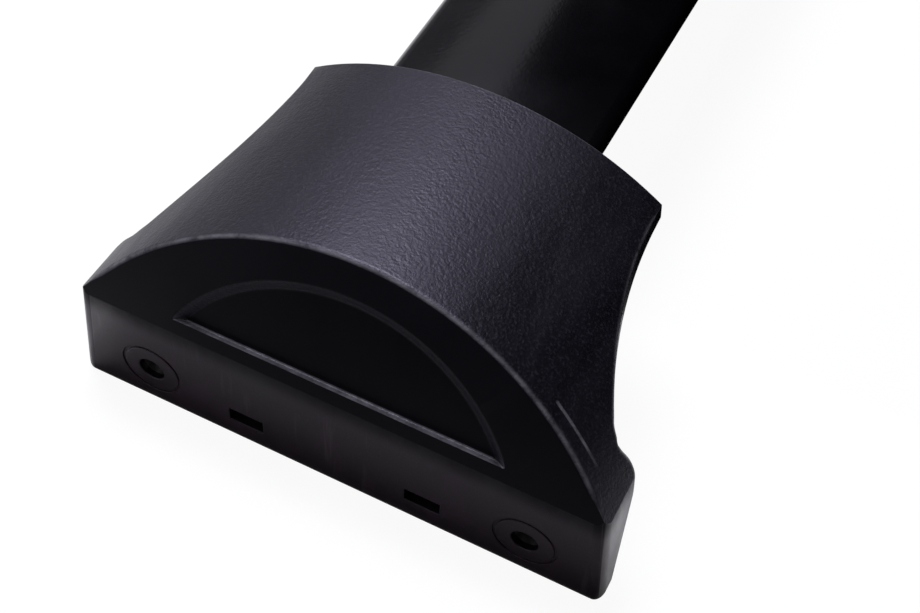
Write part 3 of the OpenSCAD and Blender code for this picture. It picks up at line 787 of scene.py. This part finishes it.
def make_housing(side):
    """The housing with its outer edges rounded, from the CAD node's own merged mesh."""
    to_row = foot_to_row(side)
    shell = merged_copy(f"{side}_housing", to_row)
    shell.normal_update()
    facing = shell.verts.layers.float_vector.new("facing")
    # This layer, named edge, holds each point's share of painted highlight and polish.
    polish_and_highlight = shell.verts.layers.float.new("edge")
    for vert in shell.verts:
        if on_hood(vert.co):
            vert[facing] = from_hood_axis(vert.co).normalized()
    slope_recess_arc(shell)

    hood_edges = [edge for edge in shell.edges if is_sharp(edge) and whole_edge(edge, on_hood)]
    by_face = [edge for edge in hood_edges
               if whole_edge(edge, lambda p: abs(off_face(p)) < 2 * TOUCH)]
    by_mouth = [edge for edge in hood_edges if whole_edge(edge, on_mouth)]
    side_runs = runs_of([edge for edge in hood_edges
                         if edge not in by_face and edge not in by_mouth])
    for run in runs_of(by_face):
        round_hood_edge(shell, run, HOOD_FACE_ROUND, facing, polish_and_highlight)
    for run in side_runs:
        round_hood_edge(shell, run, HOOD_SIDE_ROUND, facing, polish_and_highlight)
    bmesh.ops.remove_doubles(shell, verts=shell.verts, dist=WELD)
    bmesh.ops.recalc_face_normals(shell, faces=shell.faces)

    soften(shell, lambda edge: whole_edge(edge, in_recess) and not whole_edge(edge, on_ledge),
           SLOPE_ROUND, steps=3, degrees=14)
    soften(shell, lambda edge: whole_edge(edge, on_ledge), LEDGE_ROUND, steps=3)
    soften(shell, lambda edge: whole_edge(edge, on_crease), CREASE_ROUND, degrees=14)
    soften(shell, lambda edge: whole_edge(edge, on_openings), OPENING_ROUND)
    soften(shell, lambda edge: whole_edge(edge, on_mouth) and not whole_edge(edge, round_the_bar),
           MOUTH_ROUND)

    # The recess's ledge and the edge of the mouth's arch get the painted highlight and the polish
    # too.
    for vert in shell.verts:
        from_ledge = abs(up_the_face(vert.co) - RECESS_LOW)
        if in_recess(vert.co) and from_ledge < LEDGE_ROUND + NEAR:
            vert[polish_and_highlight] = 1.0
        if (vert.co.y > MOUTH_Y - 0.8 * MOUTH_ROUND
                and from_hood_axis(vert.co).length > HOOD_R - 1.2 * MOUTH_ROUND):
            vert[polish_and_highlight] = 0.9

    turn = to_row.to_quaternion()
    shell.transform(to_row)
    for vert in shell.verts:
        vert[facing] = turn @ vert[facing]
    mesh = bpy.data.meshes.new(f"{side}_housing_shell")
    shell.to_mesh(mesh)
    shell.free()
    for finish in (hood_plastic, face_plastic, wall_plastic):
        mesh.materials.append(finish)
    arched = mesh.attributes["facing"].data
    same_way, below_face, above_face = 0.97, -3, 0.1
    for face in mesh.polygons:
        face.use_smooth = True
        centre = to_row.inverted() @ face.center
        leaning = (turn.inverted() @ face.normal).dot(face_normal) > same_way
        if in_bores(centre) or leaning and below_face < off_face(centre) < above_face:
            face.material_index = 1
        elif not (in_recess(centre)
                  or all(arched[corner].vector.length > 0.5 for corner in face.vertices)):
            face.material_index = 2
    set_true_normals(mesh)
    return add_object(f"{side}_housing_shell", mesh)


for side in SIDES:
    housing = make_housing(side)
    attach(housing, "root")
    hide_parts(f"{side}_housing")


# Bolt sleeves.
# Two steel sleeves are pressed into each strip, so that the mounting bolts don't crush the
# plastic.
# They are cut from tube and turned at the ends. Their dull zinc is painted very dark: painted
# shade for the inside of the holes.

# Painted shade: the zinc's colours are very dark, as the inside of the holes.
sleeve_zinc = zinc_plate("sleeve_zinc", (0.06, 0.06, 0.065, 1), (0.12, 0.12, 0.125, 1),
                         cloud_size_mm=4.0, roughness=0.55)
for side in SIDES:
    for end in ("front", "rear"):
        set_material(nodes[f"{side}_{end}_sleeve"], sleeve_zinc)


# Base screws.
# Four small thread-forming screws in each foot hold the base plate to bosses inside the
# housing. They have a coarse thread, a pan head with a hexagon socket, and bright zinc.

base_screw_nodes = [f"{side}_base_screw_{i}" for side in SIDES for i in (1, 2, 3, 4)]
make_screws("base_screws", base_screw_nodes, {
    "Diameter": 3 * MM, "Length": 6.5 * MM,
    "Head Width": 5.4 * MM, "Head Height": 1.65 * MM, "Head Round": 0.8 * MM,
    "Socket Width": 1.95 * MM, "Socket Depth": 1.05 * MM,
    "Pitch": 1.3 * MM, "Thread Depth": 0.45 * MM}, rows=64, finish=screw_zinc)


# Mouth seals.
# A band of soft black rubber fills the gap between the bar and each foot's mouth. It is
# moulded, with rounded lips, and has the dull bloom of rubber.

SEAL_LIP = 0.35
seal_rubber, tree, shader, place = new_finish("seal_rubber", specular=0.25)
marks = use_group(tree, handling_marks, Vector=place, Cloud_Size_mm=9.0,
                  Base=(0.0060, 0.0060, 0.0062, 1), Dusty=(0.0160, 0.0155, 0.0152, 1),
                  Roughness=0.72, Roughness_Spread=0.14)
pores = noise(tree, place, scale=3500.0, detail=2.0)
dress(tree, shader, marks, pores, strength=0.4, depth=0.04 * MM)


def make_seal(side):
    """The seal with its lips rounded, from the CAD node's own merged mesh."""
    to_row = foot_to_row(side)
    band = merged_copy(f"{side}_mouth_seal", to_row)
    outer_end = max(vert.co.y for vert in band.verts)
    soften(band, lambda edge: whole_edge(edge, lambda p: abs(p.y - outer_end) < TOUCH),
           SEAL_LIP, steps=3)
    band.transform(to_row)
    mesh = bpy.data.meshes.new(f"{side}_mouth_seal_lip")
    band.to_mesh(mesh)
    band.free()
    mesh.materials.append(seal_rubber)
    mesh.shade_smooth()
    mesh.set_sharp_from_angle(angle=math.radians(35))
    return add_object(f"{side}_mouth_seal_lip", mesh)


for side in SIDES:
    seal = make_seal(side)
    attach(seal, "root")
    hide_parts(f"{side}_mouth_seal")


# Studio.
# A plain pale floor that keeps the object's shadow, a white surround and one soft lamp.
# Cards, which the camera doesn't see, shape what the black plastic and the bar reflect. The grey
# card on the floor is a painted shade, the shaded floor that the strip reflects.

def aim(obj, centre, toward, front):
    """Puts an object at a point, with its front turned to another point."""
    obj.location = centre
    obj.rotation_mode = "QUATERNION"
    obj.rotation_quaternion = (Vector(toward) - Vector(centre)).to_track_quat(front, "Y")


def dull_paint(name, colour, specular=0.0):
    """A matt paint for the floor and the cards."""
    paint = bpy.data.materials.new(name)
    paint.use_nodes = True
    shader = paint.node_tree.nodes["Principled BSDF"]
    shader.inputs["Base Color"].default_value = colour
    shader.inputs["Roughness"].default_value = 0.9
    shader.inputs["Specular IOR Level"].default_value = specular
    return paint, paint.node_tree, shader


def stage_panel(name, centre, toward, width, height, paint):
    """A flat panel facing a point, used as a floor or as a studio card."""
    mesh = bpy.data.meshes.new(name)
    w, h = width / 2, height / 2
    mesh.from_pydata([(-w, -h, 0), (w, -h, 0), (w, h, 0), (-w, h, 0)], [], [(0, 1, 2, 3)])
    mesh.materials.append(paint)
    panel = add_object(name, mesh)
    aim(panel, centre, toward, "Z")
    return panel


def seen_as(tree, rays, one, two):
    """1 for a ray of either kind, and 0 for any other."""
    return calculate(tree, "MAXIMUM", rays.outputs[f"Is {one} Ray"], rays.outputs[f"Is {two} Ray"])


# The floor is almost plain white to the camera, and a reflection shows it a little whiter
# than it is. It lies just under the feet, so that the two don't flicker together.
FLOOR_SIDE, FLOOR_DROP = 12.0, 0.2 * MM
FLOOR_WHITE, MIRRORED_WHITE = 0.94, 0.25
floor_paint, tree, shader = dull_paint("pale_floor", (0.86, 0.86, 0.87, 1), specular=0.1)
white = add_node(tree, "ShaderNodeEmission", {"Color": (1, 1, 1, 1), "Strength": 1.0})
rays = add_node(tree, "ShaderNodeLightPath")
mirrored = calculate(tree, "MULTIPLY", seen_as(tree, rays, "Glossy", "Transmission"),
                     MIRRORED_WHITE)
share = calculate(tree, "MULTIPLY_ADD", rays.outputs["Is Camera Ray"], FLOOR_WHITE, mirrored)
mix = add_node(tree, "ShaderNodeMixShader",
               {0: share, 1: shader.outputs[0], 2: white.outputs[0]})
tree.links.new(mix.outputs[0], tree.nodes["Material Output"].inputs["Surface"])
stage_panel("floor", (0, 0, -FLOOR_DROP), (0, 0, 1), FLOOR_SIDE, FLOOR_SIDE, floor_paint)

foot_middle = (0, -0.46, 0.04)
black = dull_paint("card_black", (0.002, 0.002, 0.002, 1))[0]
grey = dull_paint("floor_shade_grey", (0.30, 0.30, 0.30, 1))[0]
pale = dull_paint("card_pale", (0.70, 0.70, 0.70, 1))[0]
for name, centre, toward, width, height, paint in (
        ("right_card", (0.30, -0.25, 0.45), (0, -0.25, 0.45), 1.1, 0.9, black),
        ("back_card", (0.35, 0.62, 0.98), (0.35, -0.5, 0.98), 1.39, 1.96, black),
        ("front_card", (-0.05, -0.60, 0.055), (-0.05, 0, 0.055), 0.9, 0.10, black),
        # Painted shade: a grey card on the floor in front of the strip, which the strip reflects
        # as shaded floor.
        ("floor_shade_card", (0.040, -0.55, 0.0004), (0.040, -0.55, 1), 0.24, 0.0998, grey),
        ("bar_card", (0.165, -0.10, 0.001), (0.165, -0.10, 1), 0.27, 0.62, black),
        ("left_card", (-0.9, 0.1, 0.33), foot_middle, 1.1, 0.66, pale)):
    card = stage_panel(name, centre, toward, width, height, paint)
    card.visible_camera = False
    card.visible_shadow = False

LAMP_SIDE, LAMP_BRIGHTNESS = 0.34, 31.0
lamp = bpy.data.lights.new("hood_lamp", "AREA")
lamp.shape = "RECTANGLE"
lamp.size = lamp.size_y = LAMP_SIDE
lamp.energy = LAMP_BRIGHTNESS * math.pi * LAMP_SIDE * LAMP_SIDE
lamp.color = (0.95, 0.94, 1.0)
aim(add_object("hood_lamp", lamp), (-0.21, -0.22, 0.84), foot_middle, "-Z")

# The surround is white to the camera and in reflections, and lights the object less.
SURROUND_LIGHT = 0.38
world = bpy.data.worlds.new("surround")
bpy.context.scene.world = world
world.use_nodes = True
tree = world.node_tree
rays = add_node(tree, "ShaderNodeLightPath")
seen = calculate(tree, "MAXIMUM", seen_as(tree, rays, "Camera", "Glossy"),
                 rays.outputs["Is Transmission Ray"])
background = tree.nodes["Background"]
background.inputs["Color"].default_value = (1, 1, 1, 1)
brightness = map_range(tree, seen, 0.0, 1.0, to_low=SURROUND_LIGHT)
tree.links.new(brightness, background.inputs["Strength"])

# The photograph's own viewing angle, in radians and metres.
CAMERA_TURN, CAMERA_PITCH, CAMERA_ROLL = -0.4020, 0.9130, -0.0802
CAMERA_PLACE = (0.11395, -0.69301, 0.36482)
FOCAL_PIXELS, PICTURE_PIXELS, SENSOR_MM = 1634.94, 920, 36
camera_data = bpy.data.cameras.new("camera")
camera_data.sensor_width = SENSOR_MM
camera_data.lens = FOCAL_PIXELS / PICTURE_PIXELS * SENSOR_MM
camera_data.clip_start = 0.01
camera = add_object("camera", camera_data)
ahead = Vector((math.sin(CAMERA_TURN) * math.cos(CAMERA_PITCH),
                math.cos(CAMERA_TURN) * math.cos(CAMERA_PITCH), -math.sin(CAMERA_PITCH)))
level_right = Vector((math.cos(CAMERA_TURN), -math.sin(CAMERA_TURN), 0))
level_down = ahead.cross(level_right)
to_right = math.cos(CAMERA_ROLL) * level_right + math.sin(CAMERA_ROLL) * level_down
to_down = math.cos(CAMERA_ROLL) * level_down - math.sin(CAMERA_ROLL) * level_right
camera.matrix_world = Matrix((
    (to_right.x, -to_down.x, -ahead.x, CAMERA_PLACE[0]),
    (to_right.y, -to_down.y, -ahead.y, CAMERA_PLACE[1]),
    (to_right.z, -to_down.z, -ahead.z, CAMERA_PLACE[2]),
    (0, 0, 0, 1)))
bpy.context.scene.camera = camera
bpy.context.scene.view_settings.view_transform = "Standard"
